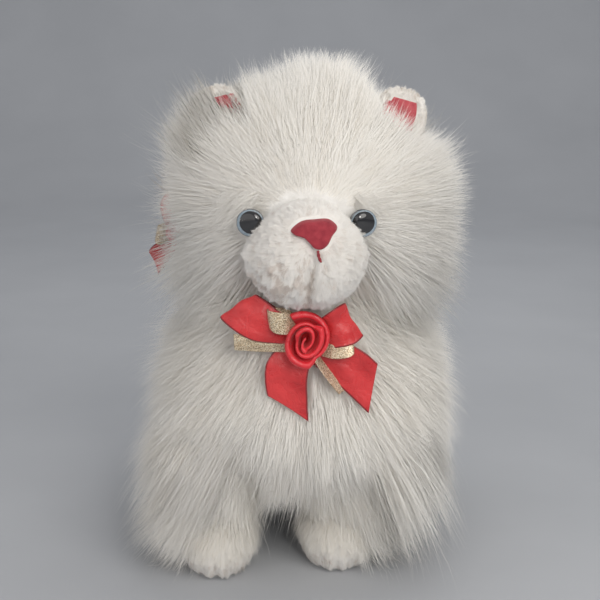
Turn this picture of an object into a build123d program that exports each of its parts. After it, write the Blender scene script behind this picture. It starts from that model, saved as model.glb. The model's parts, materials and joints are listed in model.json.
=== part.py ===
from build123d import *

import math
import os

os.makedirs("parts", exist_ok=True)

# A long-haired plush cat that stands on four stuffed legs. Millimetres, floor at z = 0, face towards -Y.

# Driving dimensions
PILE = 12.0  # depth of cloth and combed-down pile in a cover
SHORT_PILE = 5.0  # the same on the muzzle and the paws
GAP = 0.6  # room between a moving piece and its socket
CENTRE = (3.7, 1.2)  # moves the whole cat so that the origin is in the middle of its footprint

HEAD = (0.0, -35.0, 222.0)  # centre of the head
HEAD_EGG = (78.0, 62.0)  # half its width, and its radius across that
HEAD_YAW = 4.0  # the face looks a little to one side
NECK = (0.0, -32.0, 152.0)  # the head turns and nods about this point
NECK_RADIUS = 34.0
HEAD_SWEEP = (0.0, -35.0, 226.0)  # ball of room that the torso leaves under the head
HEAD_SWEEP_RADIUS = 76.0

BODY = (4.0, 32.0, 100.0)
BODY_EGG = (82.0, 58.0)
CHEST = (2.0, -40.0, 108.0)
CHEST_EGG = (68.0, 54.0)
WAIST_SEAM = -6.0  # the chest's cover and the rump's are sewn together across here

MUZZLE = (0.0, -61.0, -23.5)  # in the head's own frame
MUZZLE_EGG = (32.0, 28.5)

EYE_SPREAD = 29.75
EYE_HEIGHT = -8.7
EYE_RADIUS = 7.5
EYE_TOE_OUT = 10.0

EAR_SPREAD = {-1: 45.0, 1: 51.0}  # middle of each ear's fold, in the head's own frame
EAR_BACK = -4.0
EAR_RISE = 33.0
EAR_LEAN = 15.0
EAR_WIDTH = 34.0
EAR_HEIGHT = 28.0
EAR_HALF = 3.5
EAR_FOLD = 20.0  # forwards and backwards

HIP_HEIGHT = 82.0
LEG_RADIUS = 22.0
LEG_SWING = 10.0
PAW_EGG = (30.0, 23.5)  # half its length, and its radius across that
PAW_HEIGHT = 14.0
PAW_LEAD = 6.0  # the paw's middle lies this far in front of the leg's axis
LEGS = {  # leg axis in x and y
    "front_left": (-46.0, -50.0),
    "front_right": (24.0, -38.0),
    "hind_left": (-42.0, 60.0),
    "hind_right": (46.0, 60.0),
}

TAIL_RADIUS = 15.0
TAIL_CORE = 6.0
TAIL_PATH = [(0.0, 92.0, 133.0), (-34.0, 110.0, 140.0), (-66.0, 96.0, 165.0), (-66.0, 82.0, 228.0)]
TAIL_BENDS = [26.0, 32.0]
TAIL_WAG = 20.0

RIBBON = 22.0  # width of the red satin ribbon
GOLD = 10.0  # width of the gold ribbon
RIBBON_THICK = 0.6
KNOT = (4.0, -89.0, 149.0)
KNOT_DEPTH = 14.5


def egg(centre, radii, axis):
    """A closed ellipsoid, round about the named axis, which is its longer one."""
    along, across = radii
    face = make_face(Ellipse(along, across).edge()) & Pos(0, across / 2) * Rectangle(2 * along, across)
    turn = {"X": Rot(0, 0, 0), "Y": Rot(0, 0, 90)}[axis]
    return Pos(*centre) * turn * revolve(face, Axis.X, 360)


def smaller(radii, by):
    return tuple(r - by for r in radii)


def in_head(shape):
    """Puts a shape made in the head's own frame in its place."""
    return Pos(*HEAD) * Rot(0, 0, HEAD_YAW) * shape


def rod(start, end, radius):
    """A round bar between two points."""
    a, b = Vector(*start), Vector(*end)
    upwards = (Align.CENTER, Align.CENTER, Align.MIN)
    bar = Cylinder(radius, (b - a).length, align=upwards)
    return Plane(origin=a, z_dir=b - a) * bar


def save(name, shape, owner_frame=None):
    """Writes one sub-part, moved so that the footprint's middle is at the origin."""
    shape = owner_frame(shape) if owner_frame else shape
    shape = Pos(CENTRE[0], CENTRE[1], 0) * shape
    solids = list(shape.solids())
    export_step(solids[0] if len(solids) == 1 else Compound(children=solids), f"parts/{name}.step")


# Legs, each a long-haired column on a short-haired paw with one stuffing inside
def leg_slot(axis):
    """The room that a leg swings in: a barrel about its hip and a fan below it."""
    x, y = axis
    half = LEG_RADIUS + GAP
    outer = 40.0 if abs(x) > LEG_RADIUS * 1.5 else 0.0
    low, high = (x - half - (outer if x < 0 else 0), x + half + (outer if x > 0 else 0))
    reach = HIP_HEIGHT + 10
    spread = math.tan(math.radians(LEG_SWING + 2)) * reach
    barrel = Pos((low + high) / 2, y, HIP_HEIGHT) * Rot(0, 90, 0) * Cylinder(half, high - low)
    fan = Polyline((-half, 0), (half, 0), (half + spread, -reach), (-half - spread, -reach), close=True)
    face = make_face(Plane(origin=(low, y, HIP_HEIGHT), x_dir=(0, 1, 0), z_dir=(1, 0, 0)) * fan)
    return barrel + extrude(face, high - low, dir=(1, 0, 0))


def leg_shapes(axis):
    x, y = axis
    paw_centre = (x, y - PAW_LEAD, PAW_HEIGHT)
    ground = Pos(x, y, 0) * Box(200, 200, 200, align=(Align.CENTER, Align.CENTER, Align.MIN))
    insole = Pos(0, 0, SHORT_PILE) * ground
    paw_outer = egg(paw_centre, PAW_EGG, "Y") & ground
    paw_inner = egg(paw_centre, smaller(PAW_EGG, SHORT_PILE), "Y") & insole

    def column(radius, foot):
        bar = rod((x, y, foot), (x, y, HIP_HEIGHT), radius)
        return bar + Pos(x, y, HIP_HEIGHT) * Sphere(radius)

    core = column(LEG_RADIUS - PILE / 1.5, 20.0)
    outer = column(LEG_RADIUS, 20.0)
    stuffing = core + paw_inner
    return {
        "leg_cover": outer - core - paw_outer,
        "paw_cover": paw_outer - stuffing,
        "leg_stuffing": stuffing,
    }


for leg, axis in LEGS.items():
    for piece, shape in leg_shapes(axis).items():
        save(f"{leg}_{piece}", shape)


# Tail, a bent tube whose ball end sits against the rump
def tail_tube(radius):
    path = FilletPolyline(*TAIL_PATH, radius=TAIL_BENDS)
    start = Plane(origin=path @ 0, z_dir=path % 0)
    tube = sweep(start * Circle(radius), path=path)
    end = Plane(origin=path @ 1, z_dir=path % 1)
    return tube + start * Sphere(radius) + end * Sphere(radius)


tail_core = tail_tube(TAIL_CORE)
save("tail_cover", tail_tube(TAIL_RADIUS) - tail_core)
save("tail_stuffing", tail_core)

# Torso, with room for the head, the neck, the legs and the tail's nearest stretch as it wags
first, second = (Vector(*point) for point in TAIL_PATH[:2])
wagged = first + (second - first).rotate(Axis.Z, TAIL_WAG)
tools = Pos(*HEAD_SWEEP) * Sphere(HEAD_SWEEP_RADIUS)
tools += Pos(*NECK) * Sphere(NECK_RADIUS + GAP)
tools += Pos(*TAIL_PATH[0]) * Sphere(TAIL_RADIUS + GAP)
tools += rod(first, wagged, TAIL_RADIUS + GAP)
slots = [leg_slot(axis) for axis in LEGS.values()]
torso_outer = egg(BODY, BODY_EGG, "X") + egg(CHEST, CHEST_EGG, "X")
torso_inner = egg(BODY, smaller(BODY_EGG, PILE), "X") + egg(CHEST, smaller(CHEST_EGG, PILE), "X")
body_stuffing = torso_inner - tools
body_whole = torso_outer - tools
for slot in slots:
    body_stuffing -= slot
    body_whole -= slot
body_cover = body_whole - body_stuffing
ROOM = 400.0
seam = Pos(0, WAIST_SEAM, 0)
save("chest_cover", body_cover & seam * Box(ROOM, ROOM, ROOM, align=(Align.CENTER, Align.MAX, Align.MIN)))
save("rump_cover", body_cover & seam * Box(ROOM, ROOM, ROOM, align=(Align.CENTER, Align.MIN, Align.MIN)))
save("body_stuffing", body_stuffing)
save("neck_stuffing", Pos(*NECK) * Sphere(NECK_RADIUS))

# Head, made about its own centre with the face towards -Y
turned_back = Rot(0, 0, -HEAD_YAW) * Pos(-HEAD[0], -HEAD[1], -HEAD[2])
neck_socket = turned_back * Pos(*NECK) * Sphere(NECK_RADIUS + GAP)
head_outer = egg((0, 0, 0), HEAD_EGG, "X")
head_inner = egg((0, 0, 0), smaller(HEAD_EGG, PILE), "X")
muzzle_outer = egg(MUZZLE, MUZZLE_EGG, "X")
muzzle_inner = egg(MUZZLE, smaller(MUZZLE_EGG, SHORT_PILE), "X")


def on_head(x, z):
    """How far forward the head's surface is."""
    along, across = HEAD_EGG
    return -across * math.sqrt(1 - (x / along) ** 2 - (z / across) ** 2)


LENS_BALL = 9.0
PUPIL_RADIUS = 5.4
IRIS_THICK = 1.0
PUPIL_THICK = 0.3
STEM_RADIUS = 2.0
STEM_LENGTH = 18.0
WASHER_DEPTH = 14.0
WASHER_THICK = 2.0


def eye_shapes(side):
    """One safety eye: a domed lens over a printed iris and pupil, on a stem that a washer grips."""
    x = side * EYE_SPREAD
    turn = math.radians(EYE_TOE_OUT)
    look = (side * math.sin(turn), -math.cos(turn), 0)
    seat = Plane(origin=(x, on_head(x, EYE_HEIGHT), EYE_HEIGHT), x_dir=(0, 0, 1), z_dir=look)
    up = (Align.CENTER, Align.CENTER, Align.MIN)
    down = (Align.CENTER, Align.CENTER, Align.MAX)
    iris = Pos(0, 0, 0.2) * Cylinder(EYE_RADIUS, IRIS_THICK, align=up)
    base = 0.2 + IRIS_THICK
    pupil = Pos(0, 0, base) * Cylinder(PUPIL_RADIUS, PUPIL_THICK, align=up)
    ball_centre = base - math.sqrt(LENS_BALL**2 - EYE_RADIUS**2)
    front = Pos(0, 0, base) * Cylinder(EYE_RADIUS + 3, LENS_BALL, align=up)
    lens = (Pos(0, 0, ball_centre) * Sphere(LENS_BALL) & front) - pupil
    stem = Pos(0, 0, 0.2) * Cylinder(STEM_RADIUS, STEM_LENGTH, align=down)
    washer = Pos(0, 0, -WASHER_DEPTH) * (Cylinder(7, WASHER_THICK) - Cylinder(STEM_RADIUS, WASHER_THICK))
    pocket = Pos(0, 0, 0.2) * Cylinder(EYE_RADIUS + 0.1, 30, align=up)
    shapes = {"lens": lens, "iris": iris, "pupil": pupil, "stem": stem, "washer": washer, "pocket": pocket}
    return {name: seat * shape for name, shape in shapes.items()}


# Ears, each a short-haired back with a lining sewn into its front, folding at its root in the pile
LINING_THICK = 1.5
LINING_RIM = 4.0


def half_disc(width, height, thick):
    """A rounded ear shape standing on y = 0 of its own face."""
    face = make_face(Ellipse(width / 2, height).edge()) & Pos(0, height / 2) * Rectangle(width, height)
    return extrude(face, thick)


def ear_shapes(side):
    lean = math.radians(EAR_LEAN)
    up = Vector(side * math.sin(lean), 0, math.cos(lean))
    along = Vector(math.cos(lean), 0, -side * math.sin(lean))
    root = Vector(side * EAR_SPREAD[side], EAR_BACK, EAR_RISE)
    sheet = Plane(origin=root, x_dir=along, z_dir=along.cross(up))
    block = Pos(0, 0, -EAR_HALF) * half_disc(EAR_WIDTH, EAR_HEIGHT, 2 * EAR_HALF)
    block += Rot(0, 90, 0) * Cylinder(EAR_HALF, EAR_WIDTH)
    lining = Pos(0, EAR_HALF + 1, EAR_HALF - LINING_THICK) * half_disc(
        EAR_WIDTH - 2 * LINING_RIM, EAR_HEIGHT - EAR_HALF - 2 * LINING_RIM, LINING_THICK
    )
    half = EAR_HALF + GAP
    reach = EAR_HEIGHT + 10
    spread = math.tan(math.radians(EAR_FOLD + 2)) * reach
    fan = Polyline((0, -half), (reach, -half - spread), (reach, half + spread), (0, half), close=True)
    width = EAR_WIDTH + 2 * GAP
    face = make_face(Plane(origin=(-width / 2, 0, 0), x_dir=(0, 1, 0), z_dir=(1, 0, 0)) * fan)
    parting = extrude(face, width, dir=(1, 0, 0)) + Rot(0, 90, 0) * Cylinder(half, width)
    return {"cover": sheet * (block - lining), "lining": sheet * lining, "parting": sheet * parting}


head_stuffing = head_inner - neck_socket
head_cover = (head_outer - neck_socket) - head_stuffing
muzzle_stuffing = muzzle_inner - head_outer
muzzle_cover = (muzzle_outer - head_outer) - muzzle_stuffing
for side, word in ((-1, "left"), (1, "right")):
    eye = eye_shapes(side)
    head_cover -= eye["pocket"]
    head_cover -= eye["stem"]
    head_stuffing -= eye["stem"]
    head_stuffing -= eye["washer"]
    muzzle_cover -= eye["pocket"]
    muzzle_stuffing -= eye["pocket"]
    head_cover -= eye["washer"]
    ear = ear_shapes(side)
    head_cover -= ear["parting"]
    head_stuffing -= ear["parting"]
    for piece in ("cover", "lining"):
        save(f"{word}_ear_{piece}", ear[piece], in_head)
    for piece in ("lens", "iris", "pupil", "stem", "washer"):
        save(f"{word}_eye_{piece}", eye[piece], in_head)
save("head_cover", head_cover, in_head)
save("head_stuffing", head_stuffing, in_head)
save("muzzle_cover", muzzle_cover, in_head)
save("muzzle_stuffing", muzzle_stuffing, in_head)

# Nose, a padded velour triangle sewn a little askew, and the mouth's thread
NOSE_WIDTH = 24.0
NOSE_HEIGHT = 17.0
NOSE_OFFSET = 2.5
NOSE_RISE = 15.5  # above the muzzle's middle
NOSE_PROUD = 2.2
NOSE_TILT = 9.0
mx, my, mz = MUZZLE
muzzle_round = MUZZLE_EGG[1]
nose_y = -math.sqrt(muzzle_round**2 - NOSE_RISE**2)
nose_normal = (0, nose_y, NOSE_RISE)
nose_seat = Plane(
    origin=(mx + NOSE_OFFSET, my + nose_y, mz + NOSE_RISE), x_dir=(1, 0, 0), z_dir=nose_normal
)
half, rise = NOSE_WIDTH / 2, NOSE_HEIGHT / 2
corners = ((-half, rise), (half, rise), (0, -rise))
triangle = make_face(Polyline(*corners, close=True))
triangle = fillet(triangle.vertices(), 4.0)
nose = nose_seat * Rot(0, 0, NOSE_TILT) * Pos(0, 0, -4) * extrude(triangle, 4 + NOSE_PROUD)
save("nose_patch", nose - muzzle_outer - head_outer, in_head)
STITCH = (1.2, 8.0)
stitch_top = mz + 4.0
stitch = Pos(mx + NOSE_OFFSET, my - muzzle_round - 0.7, stitch_top) * Box(
    STITCH[0], 6, STITCH[1], align=(Align.CENTER, Align.MIN, Align.MAX)
)
save("mouth_stitch", stitch - muzzle_outer, in_head)

# Ribbons
def loop(length, depth, width):
    """A ribbon folded into an eye: a flat oval ring, as tall as the ribbon, with its inner end at x = 0."""
    outer = Pos(length / 2, 0) * Ellipse(length / 2, depth / 2)
    inner = Pos(length / 2, 0) * Ellipse(length / 2 - RIBBON_THICK, depth / 2 - RIBBON_THICK)
    return Pos(0, 0, -width / 2) * extrude(outer - inner, width)


def strip(length, width, cut):
    """A flat ribbon end along -Z with its foot cut aslant."""
    points = ((-width / 2, 0), (width / 2, 0), (width / 2, -length), (-width / 2, -length + cut))
    face = make_face(Plane.XZ * Polyline(*points, close=True))
    return extrude(face, RIBBON_THICK, dir=(0, 1, 0))


def at(offset, turn=(0, 0, 0)):
    """Puts a bow piece at a distance from the knot."""
    return Pos(KNOT[0] + offset[0], KNOT[1] + offset[1], KNOT[2] + offset[2]) * Rot(*turn)


KNOT_FACE = 12.0
KNOT_PROUD = 7.5
ROSE_RADIUS = 13.5
ROSE_DEPTH = 13.0
ROSE_EDGE = 3.0
LOOP_WIDTH = RIBBON - 3.0
LOOP_DEPTH = 9.0
GOLD_DEPTH = 6.0
knot_block = Box(KNOT_FACE, KNOT_DEPTH, KNOT_FACE, align=(Align.CENTER, Align.MIN, Align.CENTER))
rose = fillet((Rot(90, 0, 0) * Cylinder(ROSE_RADIUS, ROSE_DEPTH)).edges(), ROSE_EDGE)
CHEST_BOW = {  # distance from the knot, turns about X, Y and Z, and shape
    "ribbon_knot": ((0, -KNOT_PROUD, 0), (0, 0, 0), knot_block),
    "ribbon_rose": ((0, -16.5, 2), (0, 0, 0), rose),
    "red_loop_left": ((-6.8, -1, 7), (0, 12, 180), loop(41, LOOP_DEPTH, LOOP_WIDTH)),
    "red_loop_right": ((7.6, -1, 3), (0, 8, 0), loop(34, LOOP_DEPTH, LOOP_WIDTH)),
    "red_tail_left": ((-8, -6.6, -7), (0, -3, 0), strip(36, RIBBON, 13)),
    "red_tail_right": ((13, -7.6, -9), (0, -20, 0), strip(32, RIBBON, -11)),
    "gold_tail_left": ((-7, -9.4, -2), (0, 93, 0), strip(34, GOLD, 3)),
    "gold_loop_left": ((-15, -9.6, 8.4), (0, 40, 180), loop(14, GOLD_DEPTH, GOLD - 2)),
    "gold_loop_right": ((15, -11.6, 0), (0, 5, 0), loop(12, GOLD_DEPTH, GOLD)),
    "gold_tail_right": ((8, -9.0, -7.5), (0, -38, 0), strip(24, GOLD, 3)),
}
for name, (offset, turn, shape) in CHEST_BOW.items():
    save(name, at(offset, turn) * shape)

# The tail's bow, tied round the tail's upright stretch
BAND_SHARE = 0.35  # how far up the upright stretch the band sits
BUD = (-84.5, 79.0, 176.0)
BOW_FACING = -53.0
upright = Vector(*TAIL_PATH[3]) - Vector(*TAIL_PATH[2])
band_plane = Plane(origin=Vector(*TAIL_PATH[2]) + upright * BAND_SHARE, z_dir=upright)
BAND_THICK = 1.2
BAND_WIDTH = 8.0
BUD_RADIUS = 5.5
band = Cylinder(TAIL_RADIUS + BAND_THICK, BAND_WIDTH) - Cylinder(TAIL_RADIUS, BAND_WIDTH)
save("tail_bow_band", band_plane * band)
save("tail_bow_rosebud", Pos(*BUD) * Sphere(BUD_RADIUS))

TAIL_LOOP_WIDTH = 15.0
TAIL_BOW = {  # distance from the bud, pitch, and shape
    "upper_loop": ((0, -3, 6), -88, loop(34, 8, TAIL_LOOP_WIDTH)),
    "lower_loop": ((-1, 2, -6), 92, loop(24, 8, TAIL_LOOP_WIDTH)),
    "gold_loop": ((-2, -8, -6), 100, loop(13, 5, GOLD - 2)),
}
for name, (offset, pitch, shape) in TAIL_BOW.items():
    place = Pos(*(Vector(*BUD) + Vector(*offset)))
    save(f"tail_bow_{name}", place * Rot(0, 0, BOW_FACING) * Rot(0, pitch, 0) * shape)
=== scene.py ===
import json
import math

import bpy
import numpy as np
from mathutils import Matrix, Vector, noise
from mathutils.kdtree import KDTree

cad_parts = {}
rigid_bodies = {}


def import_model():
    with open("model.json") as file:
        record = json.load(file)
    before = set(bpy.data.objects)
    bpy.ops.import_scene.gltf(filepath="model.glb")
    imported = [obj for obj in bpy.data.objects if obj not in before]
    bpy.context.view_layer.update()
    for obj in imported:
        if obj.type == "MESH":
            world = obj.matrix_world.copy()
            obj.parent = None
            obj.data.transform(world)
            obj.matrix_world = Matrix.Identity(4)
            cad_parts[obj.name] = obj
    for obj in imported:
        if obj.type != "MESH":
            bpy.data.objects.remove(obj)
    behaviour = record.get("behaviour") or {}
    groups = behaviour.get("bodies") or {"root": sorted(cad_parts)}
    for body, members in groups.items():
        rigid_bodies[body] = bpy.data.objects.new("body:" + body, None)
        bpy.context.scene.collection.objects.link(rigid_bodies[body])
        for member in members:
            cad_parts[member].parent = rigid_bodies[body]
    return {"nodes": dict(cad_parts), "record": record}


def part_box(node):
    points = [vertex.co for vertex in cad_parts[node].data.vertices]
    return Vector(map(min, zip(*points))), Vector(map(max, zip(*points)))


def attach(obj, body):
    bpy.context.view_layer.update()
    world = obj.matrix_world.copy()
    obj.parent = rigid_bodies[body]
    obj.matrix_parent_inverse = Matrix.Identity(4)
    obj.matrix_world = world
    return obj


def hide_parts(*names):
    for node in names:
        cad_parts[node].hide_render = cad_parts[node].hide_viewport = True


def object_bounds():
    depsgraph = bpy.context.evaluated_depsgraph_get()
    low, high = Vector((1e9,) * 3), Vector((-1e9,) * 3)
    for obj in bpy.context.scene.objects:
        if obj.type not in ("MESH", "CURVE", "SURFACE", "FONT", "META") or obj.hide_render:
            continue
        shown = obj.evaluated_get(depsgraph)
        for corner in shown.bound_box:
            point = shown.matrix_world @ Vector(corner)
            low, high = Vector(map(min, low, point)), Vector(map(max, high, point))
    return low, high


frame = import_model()

# A long-haired white plush cat. Everything is in metres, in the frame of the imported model:
# +Z is up, the face looks towards -Y, and +X is the right as one faces it. In the rules
# below, p are places and n the skin's normals, one row each.
CAD_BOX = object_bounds()
MM = 0.001
SEED = 7
SHARE = 1.0  # share of the hairs that are made
THICKEN = 1.0 / math.sqrt(SHARE)


# ---- places, all taken from the frame
def middle(node):
    low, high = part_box(node)
    return np.array((low + high) / 2)


def joint(name):
    found = [j for j in frame["record"]["behaviour"]["joints"] if j["name"] == name][0]
    return np.array(found["pos_m"]), np.array(found["axis"], float)


def mm(x, y, z):
    """A place or a size given in millimetres."""
    return np.array([x, y, z]) * MM


def unit(v):
    v = np.asarray(v, float)
    return v / np.maximum(np.linalg.norm(v, axis=-1, keepdims=True), 1e-12)


def bell(x, width):
    """1 in the middle, fading to 0 past the width."""
    return np.exp(-((x / width) ** 2))


def limit(x):
    """Holds a value between 0 and 1."""
    return np.clip(x, 0, 1)


head_low, head_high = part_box("head_cover")
HEAD_HALF = (head_high.x - head_low.x) / 2
HEAD_ROUND = (head_high.y - head_low.y) / 2
HEAD = middle("head_cover")
HEAD[2] = head_high.z - HEAD_ROUND

muzzle_low, muzzle_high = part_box("muzzle_cover")
MUZZLE_HALF = (muzzle_high.x - muzzle_low.x) / 2
MUZZLE_ROUND = (muzzle_high.z - muzzle_low.z) / 2
MUZZLE = middle("muzzle_cover")
MUZZLE[1] = muzzle_low.y + MUZZLE_ROUND
NOSE = middle("nose_patch")
KNOT = middle("ribbon_knot")
ROSE = middle("ribbon_rose")
NECK, _ = joint("neck_turn")
TAIL_ROOT, _ = joint("tail_wag")
LEGS = ("front_left", "front_right", "hind_left", "hind_right")
HIPS = {leg: joint(f"{leg}_leg_swing")[0] for leg in LEGS}
PAWS = {leg: middle(f"{leg}_paw_cover") for leg in LEGS}
body_low, body_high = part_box("rump_cover")


# ---- materials
def material(name, base, rough=0.6, **inputs):
    """A material with one Principled shader, and its node tree."""
    m = bpy.data.materials.new(name)
    m.use_nodes = True
    shader = m.node_tree.nodes["Principled BSDF"]
    shader.inputs["Base Color"].default_value = (*base, 1)
    shader.inputs["Roughness"].default_value = rough
    for key, value in inputs.items():
        shader.inputs[key.replace("_", " ")].default_value = value
    return m


def nodes_of(m):
    tree = m.node_tree
    return tree, tree.nodes["Principled BSDF"]


def add_node(tree, kind, **values):
    node = tree.nodes.new(kind)
    for key, value in values.items():
        if key in node.inputs:
            node.inputs[key].default_value = value
        else:
            setattr(node, key, value)
    return node


def link(tree, source, output, target, socket):
    tree.links.new(source.outputs[output], target.inputs[socket])


def noisy(m, scale, low, high, detail=4.0, bump=0.0, bump_scale=None):
    """Varies a material's colour between two tones by noise, and roughens its surface."""
    tree, shader = nodes_of(m)
    where = tree.nodes.new("ShaderNodeTexCoord")
    grain = add_node(tree, "ShaderNodeTexNoise", Scale=scale, Detail=detail)
    ramp = tree.nodes.new("ShaderNodeValToRGB")
    ramp.color_ramp.elements[0].position = 0.3
    ramp.color_ramp.elements[1].position = 0.7
    ramp.color_ramp.elements[0].color = (*low, 1)
    ramp.color_ramp.elements[1].color = (*high, 1)
    link(tree, where, "Object", grain, "Vector")
    link(tree, grain, "Fac", ramp, "Fac")
    link(tree, ramp, "Color", shader, "Base Color")
    if bump:
        fine = add_node(tree, "ShaderNodeTexNoise", Scale=bump_scale or scale * 4, Detail=3.0)
        relief = add_node(tree, "ShaderNodeBump", Strength=bump, Distance=0.0004)
        link(tree, where, "Object", fine, "Vector")
        link(tree, fine, "Fac", relief, "Height")
        link(tree, relief, "Normal", shader, "Normal")
    return m


FUR = [
    material("fur_white", (0.95, 0.93, 0.885), 0.5, Specular_IOR_Level=0.35),
    material("fur_cream", (0.935, 0.908, 0.855), 0.5, Specular_IOR_Level=0.3),
    material("fur_warm", (0.90, 0.865, 0.80), 0.55, Specular_IOR_Level=0.3),
]
FUR_MIX = (0.55, 0.33, 0.12)
PLUSH = [
    material("plush_white", (0.95, 0.93, 0.895), 0.6, Specular_IOR_Level=0.2),
    material("plush_cream", (0.94, 0.915, 0.875), 0.65, Specular_IOR_Level=0.2),
    # the third tone is a darker copy of the plush: painted shade dealt to the shadiest tufts
    material("plush_painted_shade", (0.77, 0.70, 0.64), 0.7, Specular_IOR_Level=0.2),
]
undercoat = noisy(
    material("undercoat", (0.8, 0.78, 0.74), 0.9),
    160, (0.80, 0.78, 0.74), (0.92, 0.905, 0.88), bump=0.8,
)
plush_ground = noisy(
    material("plush_ground", (0.85, 0.82, 0.78), 0.9),
    240, (0.86, 0.825, 0.78), (0.93, 0.905, 0.865), bump=0.5, bump_scale=2200,
)
velour = noisy(
    material("nose_velour", (0.4, 0.03, 0.045), 0.85, Sheen_Weight=0.5, Sheen_Roughness=0.4),
    300, (0.26, 0.016, 0.030), (0.38, 0.036, 0.052), bump=0.6, bump_scale=2500,
)
velour.node_tree.nodes["Principled BSDF"].inputs["Sheen Tint"].default_value = (1, 0.55, 0.55, 1)
lining = noisy(
    material("ear_lining", (0.5, 0.06, 0.08), 0.85, Sheen_Weight=0.4, Sheen_Roughness=0.4),
    260, (0.52, 0.07, 0.09), (0.72, 0.15, 0.17), bump=0.6, bump_scale=2200,
)
thread = noisy(
    material("mouth_thread", (0.45, 0.05, 0.06), 0.7),
    900, (0.24, 0.02, 0.03), (0.40, 0.05, 0.06), bump=0.7,
)
fibre = noisy(
    material("stuffing_fibre", (0.85, 0.85, 0.85), 0.9),
    120, (0.78, 0.78, 0.78), (0.9, 0.9, 0.9), bump=0.6,
)
fixing = noisy(
    material("eye_fixing", (0.8, 0.8, 0.78), 0.45),
    300, (0.74, 0.74, 0.72), (0.83, 0.83, 0.81), bump=0.1,
)


def satin(name, deep, bright):
    """Woven satin: fine warp lines, a long highlight, and colour that runs by noise between a deep and a
    bright red, painted shade and sheen of soft folds.
    """
    m = material(name, bright, 0.34, Specular_IOR_Level=0.6, Sheen_Weight=0.25)
    # painted shade and sheen: the colour runs between the deep and the bright red in soft folds
    noisy(m, 70, deep, bright, detail=2.0)
    tree, shader = nodes_of(m)
    where = tree.nodes.new("ShaderNodeTexCoord")
    weave = add_node(tree, "ShaderNodeTexWave", Scale=900.0, Distortion=1.5, Detail=2.0)
    weave.bands_direction = "DIAGONAL"
    relief = add_node(tree, "ShaderNodeBump", Strength=0.25, Distance=0.0001)
    link(tree, where, "Object", weave, "Vector")
    link(tree, weave, "Fac", relief, "Height")
    crumple = add_node(tree, "ShaderNodeTexNoise", Scale=150.0, Detail=5.0, Distortion=1.2)
    dents = add_node(tree, "ShaderNodeBump", Strength=0.65, Distance=0.0014)
    link(tree, where, "Object", crumple, "Vector")
    link(tree, crumple, "Fac", dents, "Height")
    link(tree, relief, "Normal", dents, "Normal")
    link(tree, dents, "Normal", shader, "Normal")
    spread = {"From Min": 0.35, "From Max": 0.65, "To Min": 0.20, "To Max": 0.44}
    gloss = add_node(tree, "ShaderNodeMapRange", **spread)
    link(tree, crumple, "Fac", gloss, "Value")
    link(tree, gloss, "Result", shader, "Roughness")
    shader.inputs["Sheen Tint"].default_value = (1.0, 0.5, 0.5, 1)
    return m


red_satin = satin("red_satin", (0.50, 0.016, 0.020), (0.74, 0.045, 0.048))
selvage = satin("red_selvage", (0.20, 0.004, 0.008), (0.34, 0.01, 0.016))
rose_satin = satin("rose_satin", (0.56, 0.010, 0.020), (0.80, 0.026, 0.040))


def glitter():
    """Metallic ribbon: crossed gold threads that sparkle grain by grain."""
    m = material("gold_ribbon", (0.66, 0.50, 0.30), 0.40, Metallic=0.5)
    tree, shader = nodes_of(m)
    where = tree.nodes.new("ShaderNodeTexCoord")
    grain = add_node(tree, "ShaderNodeTexVoronoi", Scale=2600.0)
    ramp = tree.nodes.new("ShaderNodeValToRGB")
    ramp.color_ramp.elements[0].color = (0.30, 0.21, 0.13, 1)
    ramp.color_ramp.elements[1].color = (1.0, 0.95, 0.80, 1)
    for place, colour in ((0.4, (0.62, 0.48, 0.31)), (0.8, (0.90, 0.76, 0.54))):
        ramp.color_ramp.elements.new(place).color = (*colour, 1)
    relief = add_node(tree, "ShaderNodeBump", Strength=0.9, Distance=0.0004)
    split = tree.nodes.new("ShaderNodeSeparateColor")
    link(tree, where, "Object", grain, "Vector")
    link(tree, grain, "Color", split, "Color")
    link(tree, split, "Red", ramp, "Fac")
    link(tree, ramp, "Color", shader, "Base Color")
    link(tree, split, "Green", relief, "Height")
    link(tree, relief, "Normal", shader, "Normal")
    return m


gold = glitter()
LACQUER = dict(Coat_Weight=1.0, Coat_Roughness=0.03)
pupil_black = noisy(
    material("pupil_black", (0.012, 0.012, 0.014), 0.06, **LACQUER),
    200, (0.008, 0.008, 0.01), (0.018, 0.018, 0.02),
)
iris_blue = noisy(
    material("iris_blue", (0.33, 0.45, 0.58), 0.08, **LACQUER),
    900, (0.20, 0.27, 0.33), (0.38, 0.46, 0.52),
)
rim_dark = noisy(
    material("eye_rim", (0.05, 0.06, 0.08), 0.15, Coat_Weight=0.8),
    300, (0.03, 0.04, 0.06), (0.08, 0.1, 0.13),
)


# ---- mesh helpers
def put(name, data):
    """Puts a mesh, light or camera into the scene."""
    o = bpy.data.objects.new(name, data)
    bpy.context.scene.collection.objects.link(o)
    return o


def mesh_object(name, verts, faces, mats, face_mats=None):
    mesh = bpy.data.meshes.new(name)
    mesh.from_pydata([tuple(v) for v in verts], [], [tuple(f) for f in faces])
    for m in mats:
        mesh.materials.append(m)
    if face_mats is not None:
        mesh.polygons.foreach_set("material_index", np.asarray(face_mats, np.int32))
    mesh.polygons.foreach_set("use_smooth", np.ones(len(mesh.polygons), bool))
    mesh.update()
    return put(name, mesh)


def apply_modifiers(o):
    graph = bpy.context.evaluated_depsgraph_get()
    mesh = bpy.data.meshes.new_from_object(o.evaluated_get(graph))
    o.modifiers.clear()
    o.data = mesh


def hoops(rows, spokes, first=0):
    """Faces between one ring of points and the next."""
    corners = []
    for i in range(rows):
        for j in range(spokes):
            a, b, k = first + i * spokes, first + (i + 1) * spokes, (j + 1) % spokes
            corners.append((a + j, b + j, b + k, a + k))
    return corners


def strip(rows, across):
    """Faces of an open sheet of points, row by row."""
    return [
        (a, a + 1, a + across + 1, a + across)
        for a in (i * across + j for i in range(rows - 1) for j in range(across - 1))
    ]


EGG_RINGS, EGG_SPOKES = 24, 36


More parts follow.
